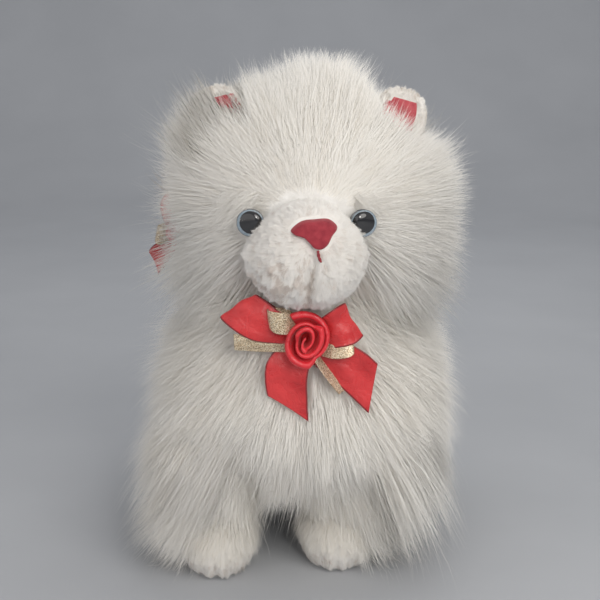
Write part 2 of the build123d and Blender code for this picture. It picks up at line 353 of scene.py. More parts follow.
def egg(centre, radii):
    """Points and faces of an ellipsoid."""
    up = np.linspace(0, math.pi, EGG_RINGS + 1)
    round_ = np.linspace(0, 2 * math.pi, EGG_SPOKES, endpoint=False)
    a, b = np.meshgrid(up, round_, indexing="ij")
    p = np.stack([np.sin(a) * np.cos(b), np.sin(a) * np.sin(b), np.cos(a)], -1) * np.asarray(radii)
    p = p + np.asarray(centre)
    return p.reshape(-1, 3), np.array(hoops(EGG_RINGS, EGG_SPOKES))


def blob(name, eggs, mats, voxel=3.0 * MM, smooth=8, shape=None):
    """One closed skin round several ellipsoids, evened out, then moved point by point by shape."""
    verts, faces, start = [], [], 0
    for e in eggs:
        p, f = egg(*e)
        verts.append(p)
        faces.append(f + start)
        start += len(p)
    o = mesh_object(name, np.concatenate(verts), np.concatenate(faces), mats)
    remesh = o.modifiers.new("remesh", "REMESH")
    remesh.mode = "VOXEL"
    remesh.voxel_size = voxel
    even = o.modifiers.new("even", "SMOOTH")
    even.iterations = smooth
    even.factor = 0.5
    apply_modifiers(o)
    if shape is not None:
        p = points_of(o)
        o.data.vertices.foreach_set("co", shape(p).astype(np.float32).ravel())
        o.data.update()
    o.data.polygons.foreach_set("use_smooth", np.ones(len(o.data.polygons), bool))
    return o


def dress(piece, body, slot, *nodes, fill=None):
    """Says what a piece rides on and hides the parts it stands for. How full it is (fill) and what it is
    made of (slot) are not used.
    """
    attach(piece, body)
    if nodes:
        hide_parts(*nodes)


def points_of(o):
    p = np.zeros(len(o.data.vertices) * 3, np.float32)
    o.data.vertices.foreach_get("co", p)
    return p.reshape(-1, 3).astype(float)


def normals_of(o):
    n = np.zeros(len(o.data.vertices) * 3, np.float32)
    o.data.vertices.foreach_get("normal", n)
    return n.reshape(-1, 3).astype(float)


def scatter(o, per_mm2, rng, keep=None):
    """Random roots on a skin, evenly by area, with the skin's normals."""
    mesh = o.data
    mesh.calc_loop_triangles()
    tri = np.zeros(len(mesh.loop_triangles) * 3, np.int32)
    mesh.loop_triangles.foreach_get("vertices", tri)
    tri = tri.reshape(-1, 3)
    p, n = points_of(o), normals_of(o)
    a, b, c = p[tri[:, 0]], p[tri[:, 1]], p[tri[:, 2]]
    area = np.linalg.norm(np.cross(b - a, c - a), axis=1) / 2
    count = int(area.sum() / MM**2 * per_mm2 * SHARE)
    pick = rng.choice(len(tri), count, p=area / area.sum())
    u, v = rng.random(count), rng.random(count)
    flip = u + v > 1
    u[flip], v[flip] = 1 - u[flip], 1 - v[flip]
    w = 1 - u - v
    t = tri[pick]
    roots = p[t[:, 0]] * w[:, None] + p[t[:, 1]] * u[:, None] + p[t[:, 2]] * v[:, None]
    normals = unit(n[t[:, 0]] * w[:, None] + n[t[:, 1]] * u[:, None] + n[t[:, 2]] * v[:, None])
    if keep is not None:
        good = keep(roots, normals)
        roots, normals = roots[good], normals[good]
    return roots, normals


def flatten(direction, normals):
    """The part of a direction that lies along the skin."""
    return unit(direction - normals * (direction * normals).sum(-1, keepdims=True))


DOWN = np.array([0.0, 0.0, -1.0])


def grow(roots, normals, comb, length, rng, lift, droop, wild=0.12, points=5):
    """Each hair's line: it leaves the skin between its normal and the combing, and sags at its tip."""
    count = len(roots)
    lift = np.broadcast_to(np.asarray(lift, float).reshape(-1, 1), (count, 1))
    stray = rng.normal(0, 1, (count, 3))
    start = unit(normals * lift + comb * (1 - lift) + stray * wild)
    sag = DOWN * np.asarray(droop).reshape(-1, 1)
    finish = unit(normals * lift * 0.45 + comb * (1 - lift * 0.45) + sag + stray * wild * 1.4)
    line = np.zeros((count, points, 3))
    line[:, 0] = roots - normals * 0.6 * MM
    step = np.asarray(length).reshape(-1, 1) / (points - 1)
    for k in range(1, points):
        t = (k - 0.5) / (points - 1)
        line[:, k] = line[:, k - 1] + unit(start * (1 - t) + finish * t) * step
    return line


def clump(line, size, rng, pull_low, pull_high, power=1.3):
    """Draws the hairs of each lock together towards their tips."""
    count, points, _ = line.shape
    spread = line[:, 0]
    extent = spread.max(0) - spread.min(0)
    area = 2 * (extent[0] * extent[1] + extent[1] * extent[2] + extent[0] * extent[2]) * 0.7
    locks = max(8, min(count // 4, int(area / size**2)))
    chosen = rng.choice(count, locks, replace=False)
    tree = KDTree(locks)
    for i, c in enumerate(chosen):
        tree.insert(spread[c], i)
    tree.balance()
    asked = spread + rng.normal(0, size * 0.22, spread.shape)
    nearest = np.array([tree.find(q)[1] for q in asked])
    guide = line[chosen[nearest]]
    pull = rng.uniform(pull_low, pull_high, (count, 1, 1)) * (rng.random((count, 1, 1)) > 0.08)
    t = np.linspace(0, 1, points).reshape(1, -1, 1) ** power
    return line + (guide - line) * pull * t, nearest


def wave(line, rng, size, turns):
    """A slight wave across each hair."""
    count, points, _ = line.shape
    across = unit(np.cross(line[:, -1] - line[:, 0], rng.normal(0, 1, (count, 3))))
    t = np.linspace(0, 1, points).reshape(1, -1)
    swing = np.sin(2 * math.pi * (t * turns + rng.random((count, 1)))) * t * size
    return line + across[:, None, :] * swing[:, :, None]


def clear_of(line, centre, radii, share=1.0, rng=None):
    """Which hairs stay out of an ellipsoid."""
    inside = ((((line - centre) / radii) ** 2).sum(-1) < 1).any(1)
    if share < 1.0:
        inside &= rng.random(len(line)) < share
    return ~inside


MOST_TRIANGLES = 190_000


TAPER = 0.9


def hairs(
    name, body, line, rng, width, mats, normals, tones, slot="long_pile", loose=0.22, softness=0.80
):
    """Makes the hairs as tapered ribbons, in pieces that each keep under the triangle limit.

    Softness is how far each hair is shaded as the coat round it is, and not as itself.
    """
    count, points, _ = line.shape
    per = 2 * (points - 2) + 1
    most = MOST_TRIANGLES // per
    width = np.broadcast_to(np.asarray(width, float).reshape(-1, 1), (count, 1)) * THICKEN
    turned = normals - DOWN * 0.5 + rng.normal(0, 1, (count, 3)) * loose
    t = np.linspace(0, 1, points)
    for part, start in enumerate(range(0, count, most)):
        chunk = slice(start, min(start + most, count))
        p = line[chunk]
        n = len(p)
        tangent = unit(np.gradient(p, axis=1))
        side = unit(np.cross(turned[chunk][:, None, :], tangent))
        face = unit(np.cross(tangent, side))
        soft = unit(normals[chunk][:, None, :] * softness + face * (1 - softness))
        half = 0.5 * width[chunk][:, :, None] * (1 - TAPER * t.reshape(1, -1, 1) ** 1.6)
        left = (p - side * half)[:, :-1]
        right = (p + side * half)[:, :-1]
        tip = p[:, -1:]
        verts = np.concatenate([left, right, tip], axis=1)
        each = 2 * (points - 1) + 1
        base = np.arange(n, dtype=np.int64)[:, None] * each
        k = np.arange(points - 2)
        quads = np.stack([k, k + 1, points - 1 + k + 1, points - 1 + k], -1)
        last = np.array([points - 2, each - 1, 2 * (points - 1) - 1])
        quad_loops = (base[:, :, None] + quads[None]).reshape(n, -1)
        tri_loops = base + last[None]
        loops = np.concatenate([quad_loops, tri_loops], axis=1).ravel().astype(np.int32)
        sizes = np.tile(np.array([4] * (points - 2) + [3], np.int32), n)
        starts = np.concatenate([[0], np.cumsum(sizes)[:-1]]).astype(np.int32)
        mesh = bpy.data.meshes.new(f"{name}_{part}")
        mesh.vertices.add(n * each)
        mesh.vertices.foreach_set("co", verts.astype(np.float32).ravel())
        mesh.loops.add(len(loops))
        mesh.loops.foreach_set("vertex_index", loops)
        mesh.polygons.add(len(sizes))
        mesh.polygons.foreach_set("loop_start", starts)
        mesh.polygons.foreach_set("loop_total", sizes)
        for m in mats:
            mesh.materials.append(m)
        mesh.polygons.foreach_set("material_index", np.repeat(tones[chunk], points - 1).astype(np.int32))
        mesh.polygons.foreach_set("use_smooth", np.ones(len(sizes), bool))
        mesh.update()
        shade = np.concatenate([soft[:, :-1], soft[:, :-1], soft[:, -1:]], axis=1)
        mesh.normals_split_custom_set_from_vertices(shade.reshape(-1, 3))
        dress(put(f"{name}_{part}", mesh), body, slot)


def catmull(points, samples, closed=False):
    """A smooth line through a few points."""
    p = np.asarray(points, float)
    if closed:
        p = np.concatenate([p[-1:], p, p[:2]])
    else:
        p = np.concatenate([2 * p[:1] - p[1:2], p, 2 * p[-1:] - p[-2:-1]])
    spans = len(p) - 3
    s = np.linspace(0, spans, samples, endpoint=not closed)
    i = np.minimum(s.astype(int), spans - 1)
    t = (s - i).reshape(-1, 1)
    a, b, c, d = p[i], p[i + 1], p[i + 2], p[i + 3]
    return 0.5 * (2 * b + (c - a) * t + (2 * a - 5 * b + 4 * c - d) * t**2 + (3 * b - a - 3 * c + d) * t**3)


# ---- camera, lights and floor
CAMERA_DISTANCE = 0.640
CAMERA_PITCH = math.radians(14.0)
CAMERA_ROLL = math.radians(0.9)
VIEW_WIDE = 312 * MM  # what the picture takes in at the view's middle
FILM_WIDE = 36.0
FLOOR_DROP = 0.5 * MM  # the floor lies just under the soles


def place_camera():
    data = bpy.data.cameras.new("camera")
    cam = put("camera", data)
    # The view's middle is a little in front of the neck.
    target = Vector(mm(3.7, -108.8, 176.0))
    back = Vector((0, -math.cos(CAMERA_PITCH), math.sin(CAMERA_PITCH)))
    cam.location = target + back * CAMERA_DISTANCE
    level = (-back).to_track_quat("-Z", "Y").to_matrix()
    cam.rotation_euler = (level @ Matrix.Rotation(CAMERA_ROLL, 3, "Z")).to_euler()
    data.lens = FILM_WIDE * CAMERA_DISTANCE / VIEW_WIDE
    data.clip_start, data.clip_end = 0.01, 50
    bpy.context.scene.camera = cam


def light(name, place, aim, size, power, colour, kind="AREA"):
    data = bpy.data.lights.new(name, kind)
    if kind == "AREA":
        data.shape = "DISK"
        data.size = size
    else:
        data.shadow_soft_size = size
    data.energy = power
    data.color = colour
    o = put(name, data)
    o.location = place
    o.rotation_euler = (Vector(aim) - Vector(place)).to_track_quat("-Z", "Y").to_euler()


def stage():
    """A floor that sweeps up into a plain backdrop."""
    front, back, bend, tall, wide = -4.0, 1.1, 0.7, 3.5, 5.0
    profile = [(front, 0.0)]
    quarter = np.linspace(0, math.pi / 2, 24)
    profile += [(back + bend * math.sin(a), bend - bend * math.cos(a)) for a in quarter]
    profile.append((back + bend, tall))
    verts = [(x, y, z - FLOOR_DROP) for y, z in profile for x in (-wide, wide)]
    faces = [(2 * i, 2 * i + 1, 2 * i + 3, 2 * i + 2) for i in range(len(profile) - 1)]
    paper = material("floor_paper", (0.45, 0.46, 0.48), 0.85)
    noisy(paper, 6, (0.46, 0.475, 0.50), (0.50, 0.515, 0.54), bump=0.1, bump_scale=900)
    mesh_object("floor", verts, faces, [paper])
    world = bpy.data.worlds.new("studio")
    bpy.context.scene.world = world
    world.use_nodes = True
    sky = world.node_tree.nodes["Background"].inputs
    sky["Color"].default_value = (0.97, 0.975, 1.0, 1)
    sky["Strength"].default_value = 0.42
    aim = (0, -0.03, 0.16)
    light("key", (0.36, -0.74, 0.60), aim, 0.75, 3.7, (1.0, 0.965, 0.915))
    light("spark", (0.22, -0.95, 0.52), aim, 0.10, 0.9, (1.0, 0.98, 0.95))
    light("fill", (-0.75, -0.95, 0.22), aim, 1.9, 4.9, (1.0, 0.955, 0.925))
    light("top", (0.1, 0.30, 1.0), aim, 0.9, 1.95, (1.0, 0.99, 0.97))
    light("rear", (0.10, 0.85, 0.72), aim, 0.22, 3.2, (1.0, 1.0, 1.0), kind="POINT")
    scene = bpy.context.scene
    scene.view_settings.view_transform = "Standard"
    scene.cycles.diffuse_bounces = 7
    scene.cycles.max_bounces = 12


place_camera()
stage()

# ---- skins under the hair
PILE_DEPTH = 12 * MM
HEAD_SET = mm(4, 0, 0)  # the pile is longer on the head's left, so the cloth lies to the right
HEAD_SKIN = HEAD_ROUND - PILE_DEPTH
SHORT = 3.0 * MM
FACE = MUZZLE + mm(0, 0, 16)  # the hair parts away from here

head_skin = blob(
    "head_skin",
    [
        (HEAD + HEAD_SET, (HEAD_HALF - PILE_DEPTH - 5 * MM, HEAD_SKIN, HEAD_SKIN)),
        ((MUZZLE[0], HEAD[1] - 15 * MM, HEAD[2] - 7 * MM), mm(50, 39, 40)),
    ],
    [undercoat],
)
dress(head_skin, "head", "long_pile", "head_cover", "head_stuffing", fill=0.8)


SEAM_AT = (NOSE[0] - MUZZLE[0]) / MUZZLE_HALF * 0.8
SEAM_DEEP, CHEEK_PUFF = 5.0 * MM, 2.8 * MM
COARSE_TUFT, FINE_TUFT = 6.5 * MM, 2.8 * MM


def muzzle_form(p):
    """Draws the muzzle in along its middle seam, below the nose, and parts the chin."""
    q = (p - MUZZLE) / np.array([MUZZLE_HALF, MUZZLE_ROUND, MUZZLE_ROUND])
    front = limit(-q[:, 1])
    below = 1 / (1 + np.exp((q[:, 2] - 0.05) * 9))
    p = MUZZLE + (p - MUZZLE) * np.where(p < MUZZLE, [1.09, 1.0, 1.08], 1.0)
    bridge = limit((q[:, 2] - 0.05) / 0.7)
    p[:, 0] = MUZZLE[0] + (p[:, 0] - MUZZLE[0]) * (1 - 0.17 * bridge)
    groove = bell(q[:, 0] - SEAM_AT + 0.10 * (0.1 - q[:, 2]), 0.075) * below * front
    cheeks = bell(np.abs(q[:, 0] - SEAM_AT) - 0.42, 0.30) * front
    cheeks = cheeks * bell(q[:, 2] + 0.35, 0.45)
    outward = unit(q)
    tufts = np.array([
        noise.noise(Vector(v) / COARSE_TUFT) + 0.6 * noise.noise(Vector(v) / FINE_TUFT) for v in p
    ])
    ruffled = 0.45 + 0.75 * limit(-q[:, 0] + 0.1) * limit(0.5 - q[:, 2])
    p = p + outward * (tufts * ruffled * 1.5 * MM)[:, None]
    return p - outward * (groove * SEAM_DEEP)[:, None] + outward * (cheeks * CHEEK_PUFF)[:, None]


muzzle_skin = blob(
    "muzzle_skin",
    [(MUZZLE, (MUZZLE_HALF - 2 * MM, MUZZLE_ROUND - 2 * MM, MUZZLE_ROUND - 2 * MM))],
    [plush_ground],
    voxel=1.5 * MM,
    smooth=4,
    shape=muzzle_form,
)
dress(muzzle_skin, "head", "short_pile", "muzzle_cover", "muzzle_stuffing", fill=0.9)

CHEST = np.array([KNOT[0] - 2 * MM, -38.8 * MM, 108 * MM])
BODY = np.array([(body_low.x + body_high.x) / 2, 33.2 * MM, 100 * MM])
torso_skin = blob(
    "torso_skin",
    [
        (CHEST, mm(58, 43, 44)),
        (BODY, mm(70, 46, 46)),
        ((CHEST + BODY) / 2, mm(58, 50, 43)),
        (NECK - mm(0, 6, 12), mm(36, 34, 26)),
    ],
    [undercoat],
    voxel=4 * MM,
)
dress(torso_skin, "torso", "long_pile", "chest_cover", "rump_cover", "body_stuffing", fill=0.7)

neck_skin = blob("neck_skin", [(NECK, mm(32, 32, 32))], [fibre], voxel=4 * MM)
dress(neck_skin, "neck", "stuffing", "neck_stuffing", fill=0.7)

LEG_CORE = 16 * MM
SOLE = 1.2 * MM


def paw_form(centre):
    """Flattens the sole and presses the toes' seams into the front of a paw."""
    def form(p):
        q = p - centre
        toe = sum(bell(q[:, 0] - toe_at * MM, 2.2 * MM) for toe_at in (-9, 0, 9))
        front = limit(-q[:, 1] / (24 * MM)) ** 2
        low = 1 / (1 + np.exp((q[:, 2] - 2 * MM) / (3 * MM)))
        p = p + np.array([0, 1, 0]) * (toe * front * low * 2.6 * MM)[:, None]
        p[:, 2] = np.maximum(p[:, 2], SOLE)
        return p
    return form


leg_skins, paw_skins = {}, {}
for leg in LEGS:
    hip, paw = HIPS[leg], PAWS[leg]
    column = [
        ((hip[0], hip[1], hip[2] - drop * MM), (LEG_CORE * fat, LEG_CORE * fat, 20 * MM))
        for drop, fat in ((0, 1.15), (16, 1.08), (32, 1.0), (46, 1.0))
    ]
    leg_skins[leg] = blob(f"{leg}_leg_skin", column, [undercoat], smooth=10)
    dress(leg_skins[leg], f"{leg}_leg", "long_pile", f"{leg}_leg_cover", f"{leg}_leg_stuffing", fill=0.8)
    low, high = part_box(f"{leg}_paw_cover")
    half = np.array((high - low) / 2)
    centre = np.array([paw[0], paw[1], 14 * MM])
    paw_skins[leg] = blob(
        f"{leg}_paw_skin",
        [(centre, (half[0] - SHORT, half[1] - SHORT, high.z - 14 * MM - SHORT))],
        [plush_ground],
        voxel=1.8 * MM,
        smooth=4,
        shape=paw_form(centre),
    )
    dress(paw_skins[leg], f"{leg}_leg", "short_pile", f"{leg}_paw_cover", fill=0.9)

TAIL_LINE = catmull(
    [
        TAIL_ROOT,
        TAIL_ROOT + mm(-30, 15, 7),
        TAIL_ROOT + mm(-60, 6, 30),
        TAIL_ROOT + mm(-67, -3, 62),
        TAIL_ROOT + mm(-66, -10, 96),
    ],
    15,
)
tail_skin = blob("tail_skin", [(p, mm(8, 8, 8)) for p in TAIL_LINE], [undercoat], voxel=2.5 * MM)
dress(tail_skin, "tail", "long_pile", "tail_cover", "tail_stuffing", fill=0.7)

# ---- eyes
LENS_BULGE = 4.6 * MM
LENS_BACK = 2 * MM
PUPIL_EDGE, IRIS_EDGE, BACK_EDGE = 6.1, 7.2, 7.3  # millimetres from the middle
LENS_RINGS = [0, 1.5, 3, 4.2, 5.4, 6.1, 6.3, 6.5, 6.8, 7.15, 7.35, 7.5]
LENS_SPOKES = 48
eyes = {}
for word in ("left", "right"):
    seat = middle(f"{word}_eye_iris")
    look = unit(middle(f"{word}_eye_pupil") - middle(f"{word}_eye_stem"))
    seat = seat - mm(0.9, 0, 0)
    eyes[word] = (seat, look)
    side = unit(np.cross(look, [0, 0, 1.0]))
    up = np.cross(side, look)
    spin = [2 * math.pi * j / LENS_SPOKES for j in range(LENS_SPOKES)]
    inwards = unit(np.array([NOSE[0] - seat[0], 0, 0]))
    # the pupil sits off the middle, up and towards the nose
    glance = (inwards * 2.0 + np.array([0, 0, 2.3])) * MM
    verts = [seat + look * LENS_BULGE + glance]
    for r in LENS_RINGS[1:]:
        share = r / LENS_RINGS[-1]
        rise = LENS_BULGE * math.sqrt(max(0.0, 1 - share**2)) ** 1.1
        centre = seat + glance * (1 - share**2)
        verts += [centre + look * rise + (side * math.cos(a) + up * math.sin(a)) * r * MM for a in spin]
    back = len(verts)
    behind = seat - look * LENS_BACK
    verts += [behind + (side * math.cos(a) + up * math.sin(a)) * BACK_EDGE * MM for a in spin]
    faces = [(0, 1 + j, 1 + (j + 1) % LENS_SPOKES) for j in range(LENS_SPOKES)]
    faces += hoops(len(LENS_RINGS) - 1, LENS_SPOKES, first=1)
    faces.append(tuple(range(back, back + LENS_SPOKES)))
    kind_of = [0 if r <= PUPIL_EDGE else (1 if r <= IRIS_EDGE else 2) for r in LENS_RINGS[1:]] + [2]
    kinds = [kind for kind in kind_of for _ in range(LENS_SPOKES)] + [2]
    dome = mesh_object(f"{word}_eye_dome", verts, faces, [pupil_black, iris_blue, rim_dark], kinds)
    dress(dome, "head", "eye_lens", f"{word}_eye_lens", f"{word}_eye_iris", f"{word}_eye_pupil")
    for piece in ("stem", "washer"):
        cad = frame["nodes"][f"{word}_eye_{piece}"]
        cad.data.materials.clear()
        cad.data.materials.append(fixing)


# ---- nose and mouth
def on_muzzle(x, z, out=0.0):
    """A point on the muzzle's surface, seen from the front."""
    a, b = MUZZLE_HALF + out, MUZZLE_ROUND + out
    reach = 1 - ((x - MUZZLE[0]) / a) ** 2 - ((z - MUZZLE[2]) / b) ** 2
    return np.array([x, MUZZLE[1] - b * math.sqrt(max(reach, 0.02)), z])


NOSE_OUTLINE = (
    (-12, 1.5), (-6.8, 5.8), (0, 6.9), (6.5, 7.3), (10.7, 4.6), (11.3, 1.9), (9, -1.5),
    (6.6, -6.4), (3.2, -8.7), (-0.1, -8.1), (-2.6, -5.6), (-5.9, -2.7), (-10.9, -1.0),
)
NOSE_AT = np.array([NOSE[0] - 0.6 * MM, 0, NOSE[2] - 2.4 * MM])
LOOK_DOWN = math.radians(14.0)  # the face is drawn as it is seen from here


def seen_height(x, z):
    p = on_muzzle(x, z)
    return p[2] * math.cos(LOOK_DOWN) + p[1] * math.sin(LOOK_DOWN)


def height_for(x, seen):
    """The height on the muzzle at which a point seems to be so far above the nose's middle."""
    level = seen_height(NOSE_AT[0], NOSE_AT[2]) + seen
    low, high = MUZZLE[2] - 0.8 * MUZZLE_ROUND, MUZZLE[2] + 0.9 * MUZZLE_ROUND
    for _ in range(30):
        z = (low + high) / 2
        low, high = (z, high) if seen_height(x, z) < level else (low, z)
    return z


outline = catmull(NOSE_OUTLINE, 72, closed=True) * MM
outline[:, 1] = [height_for(NOSE_AT[0] + x, z) - NOSE_AT[2] for x, z in outline]
rings = 12
verts = []
for i in range(rings + 1):
    share = i / rings
    for x, z in outline:
        px, pz = NOSE_AT[0] + x * share, NOSE_AT[2] + z * share
        puff = 1.9 * MM * max(0.0, 1 - share**6) ** 0.5 + 0.2 * MM
        verts.append(on_muzzle(px, pz, puff - 1.2 * MM * (i == rings)))
nose = mesh_object("nose", verts, hoops(rings, len(outline)), [velour])
dress(nose, "head", "nose_velour", "nose_patch", fill=0.9)


def tube(name, points, radius, mats, samples=24, spokes=10, twist=0.0):
    """A closed tube along a smooth line; twist gives it two plies."""
    line = catmull(points, samples)
    tangent = unit(np.gradient(line, axis=0))
    side = unit(np.cross(tangent, [0.3, 1.0, 0.1]))
    up = np.cross(tangent, side)
    verts = []
    for i in range(samples):
        swell = radius * (1 - 0.5 * abs(2 * i / (samples - 1) - 1) ** 6)
        for j in range(spokes):
            a = 2 * math.pi * j / spokes
            ply = 1 + (0.22 * math.cos(2 * a + twist * i) if twist else 0)
            verts.append(line[i] + (side[i] * math.cos(a) + up[i] * math.sin(a)) * swell * ply)
    faces = [(a, d, c, b) for a, b, c, d in hoops(samples - 1, spokes)]
    faces.append(tuple(range(spokes)))
    faces.append(tuple(reversed(range((samples - 1) * spokes, samples * spokes))))
    return mesh_object(name, verts, faces, mats)


mouth = tube(
    "mouth",
    [
        on_muzzle(NOSE_AT[0] + x * MM, height_for(NOSE_AT[0] + x * MM, z * MM), 0.6 * MM)
        for x, z in ((1.6, -8.8), (2.2, -12.0), (3.4, -14.8))
    ],
    0.75 * MM,
    [thread],
    twist=0.8,
)
dress(mouth, "head", "mouth_thread", "mouth_stitch")


# ---- ears
EAR_WIDTH, EAR_TALL = 33 * MM, 29 * MM
ears = {}
for sign, word in ((-1, "left"), (1, "right")):
    root, along = joint(f"{word}_ear_fold")
    along = unit(along)
    front = unit(np.cross([0, 0, 1.0], along))
    front = front if front[1] < 0 else -front
    up = unit(np.cross(along, front))
    up = up if up[2] > 0 else -up
    base = root - up * 4 * MM
    ears[word] = (base, along, up, front)

    def ear_point(u, v, depth):
        """u runs across, from -1 to 1, v up, from 0 to 1; the ear is cupped forwards."""
        wide = EAR_WIDTH / 2 * (1 - v**3.2) ** 0.5 * (0.92 + 0.16 * v)
        cup = (1 - (u * wide / (EAR_WIDTH / 2)) ** 2) * 4.0 * MM - 5.0 * MM * v**2
        return base + along * u * wide + up * EAR_TALL * v - front * (cup - depth)

    count_u, count_v = 20, 22
    verts = []
    for layer in (-1, 1):
        for i in range(count_v + 1):
            v = min(i / count_v, 0.999)
            for j in range(count_u + 1):
                u = 2 * j / count_u - 1
                thick = 2.6 * MM * (1 - max(abs(u), v) ** 8) + 0.4 * MM
                verts.append(ear_point(u, v, layer * thick))
    row = count_u + 1
    layer_size = row * (count_v + 1)
    behind = strip(count_v + 1, row)
    faces = [quad[::-1] for quad in behind]
    faces += [tuple(k + layer_size for k in quad) for quad in behind]
    kinds = [0] * len(behind)
    lined_to = 0.90 if sign < 0 else 0.58
    for i in range(count_v):
        for j in range(count_u):
            u, v = 2 * (j + 0.5) / count_u - 1, (i + 0.5) / count_v
            kinds.append(1 if -0.70 < u < lined_to and v < 0.84 - 0.10 * (u < -0.5) else 0)
    rim = [i * row for i in range(count_v + 1)] + [count_v * row + j for j in range(1, row)]
    rim += [i * row + count_u for i in range(count_v - 1, -1, -1)] + list(range(count_u - 1, 0, -1))
    for a, b in zip(rim, rim[1:] + rim[:1]):
        faces.append((a, b, b + layer_size, a + layer_size))
        kinds.append(0)
    ear = mesh_object(f"{word}_ear", verts, faces, [plush_ground, lining], kinds)
    dress(ear, f"{word}_ear", "short_pile", f"{word}_ear_cover", f"{word}_ear_lining", fill=0.4)


# ---- ribbons
RIBBON_THICK = 0.35 * MM
PETAL_THICK = 0.4 * MM
RED = ([red_satin, selvage], "red_satin")
PLAIN_RED = ([red_satin], "red_satin")
GOLD = ([gold], "gold_ribbon")


def thicken(o, thick):
    solid = o.modifiers.new("thick", "SOLIDIFY")
    solid.thickness = thick
    solid.offset = 0
    apply_modifiers(o)


def ribbon(name, body, lower, upper, finish, bulge=0.0, ripple=0.0, crease=0.0, samples=60, across=14):
    """A strip of ribbon between two smooth edges, in millimetres right, out and up from the knot."""
    mats, slot = finish
    low = catmull(np.asarray(lower, float) * MM, samples)
    high = catmull(np.asarray(upper, float) * MM, samples)
    run = unit(np.gradient((low + high) / 2, axis=0))
    normal = unit(np.cross(run, high - low))
    s = np.concatenate([[0, 0.035], np.linspace(0.09, 0.91, across - 4), [0.965, 1]]).reshape(1, -1, 1)
    sheet = low[:, None] * (1 - s) + high[:, None] * s
    arch = 4 * s * (1 - s) * bulge * MM
    wobble = np.sin(s * math.pi * 5 + np.linspace(0, 4, samples).reshape(-1, 1, 1)) * ripple * MM
    run_share = np.linspace(0, 1, samples).reshape(-1, 1, 1)
    folds = np.sin(s * math.pi * 3.4 + 2.2 * run_share) * np.sin(run_share * math.pi) ** 0.6
    folds = folds * (1.15 - run_share)
    sheet = sheet + normal[:, None] * (arch + wobble + folds * crease * MM)
    place = sheet * np.array([1, -1, 1]) + BOW_AT[body]
    edged = [int(len(mats) > 1 and j in (0, across - 2)) for j in range(across - 1)]
    faces = strip(samples, across)
    o = mesh_object(f"{name}_cloth", place.reshape(-1, 3), faces, mats, edged * (samples - 1))
    thicken(o, RIBBON_THICK)
    dress(o, body, slot, name)


BOW_AT = {"torso": np.array([KNOT[0], -95.0 * MM, KNOT[2]])}
ribbon(
    "red_loop_left", "torso",
    [
        (-3, 0, -2), (-14, 4.5, 0.5), (-28, 6.5, 2.6), (-38, 6, 7.5),
        (-46.0, 2.5, 13.8), (-38, -1, 12), (-20, -2, 5), (-4, -3, 0),
    ],
    [
        (-2, 1, 8), (-9, 6, 15), (-16, 8.5, 20), (-22, 7, 24.5),
        (-27.5, 3.5, 27.2), (-24, -1, 24), (-12, -3, 15), (-3, -3, 6),
    ],
    RED, bulge=1.0, crease=0.75,
)
ribbon(
    "red_loop_right", "torso",
    [(3, 0, -4), (10, 5, -2), (19, 9, 0.4), (26, 8, 2.4), (30.0, 2.5, 5.6), (20, -2, 1), (4, -3, -1)],
    [(2, 1, 8), (7, 6, 15), (12, 9.5, 20), (16.5, 7, 22.6), (19.6, 1.5, 22.4), (12, -3, 15), (3, -3, 6)],
    RED, bulge=1.0, crease=0.7,
)
ribbon(
    "red_tail_left", "torso",
    [(-9, 1, 1), (-17, 3.4, -4), (-21.6, 5.2, -11), (-22.2, 4.2, -20), (-21.0, 3, -29.0)],
    [(6, 2, -2), (2.6, 4.8, -9), (0.6, 5.6, -18), (0.8, 4.4, -31), (1.6, 3, -43.5)],
    RED, bulge=1.1, crease=0.6,
)
ribbon(
    "red_tail_right", "torso",
    [(-3, 1, -6), (4, 2, -12), (13, 3, -19), (22, 4, -26.5), (34.0, 4, -38)],
    [(10, 2, 2), (18, 4.5, 2.6), (25, 6, 0.4), (31.5, 6.4, -3.5), (38.0, 5, -9.5)],
    RED, bulge=0.9, crease=0.7,
)
ribbon(
    "gold_tail_left", "torso",
    [(-4, 2.5, -4.5), (-14, 3.8, -4.2), (-27, 5.0, -3.8), (-38.5, 5.2, -3.2)],
    [(-4, 3.5, 5), (-14, 4.8, 5.2), (-27, 6.0, 5.8), (-39, 6.0, 5.8)],
    GOLD, bulge=0.4, ripple=0.15,
)
ribbon(
    "gold_loop_left", "torso",
    [
        (-6, 5, 8), (-10, 11, 7.5), (-16, 13.5, 8.5), (-19.5, 11, 10.5),
        (-18, 7, 12), (-12, 5, 12), (-7, 4, 11),
    ],
    [
        (-7, 6, 17), (-11, 11, 19), (-17, 13, 20), (-21, 11, 20.5),
        (-19.5, 6, 20.5), (-13, 4, 20), (-8, 4, 18),
    ],
    GOLD, bulge=0.2,
)
ribbon(
    "gold_loop_right", "torso",
    [(8, 6, -5.5), (15, 9.5, -6.0), (22.5, 10, -4.8), (25.0, 8, -2.8), (21, 5.4, -1.6), (9, 4, -2.5)],
    [(8, 4, 0.5), (15, 6.5, 2.0), (22.0, 7, 3.0), (25.4, 5, 4.0), (21, 2, 5), (9, 1, 3)],
    GOLD, bulge=0.2,
)
ribbon(
    "gold_tail_right", "torso",
    [(4, 5.5, -8), (9.0, 7.0, -15.5), (14, 7.0, -22), (17.8, 6.4, -26.6)],
    [(9.8, -1.0, -5), (13.6, 0.6, -12.5), (18.0, 1.6, -19.0), (22.4, 2.0, -24.8)],
    GOLD, bulge=0.2,
)
ribbon(
    "ribbon_knot", "torso",
    [(-8, -3, -5), (-5, 2, -6), (0, 3.5, -6), (5, 2, -6), (8, -3, -5)],
    [(-8, -3, 7), (-5, 2, 8), (0, 3.5, 8), (5, 2, 8), (8, -3, 7)],
    PLAIN_RED, bulge=1.2,
)


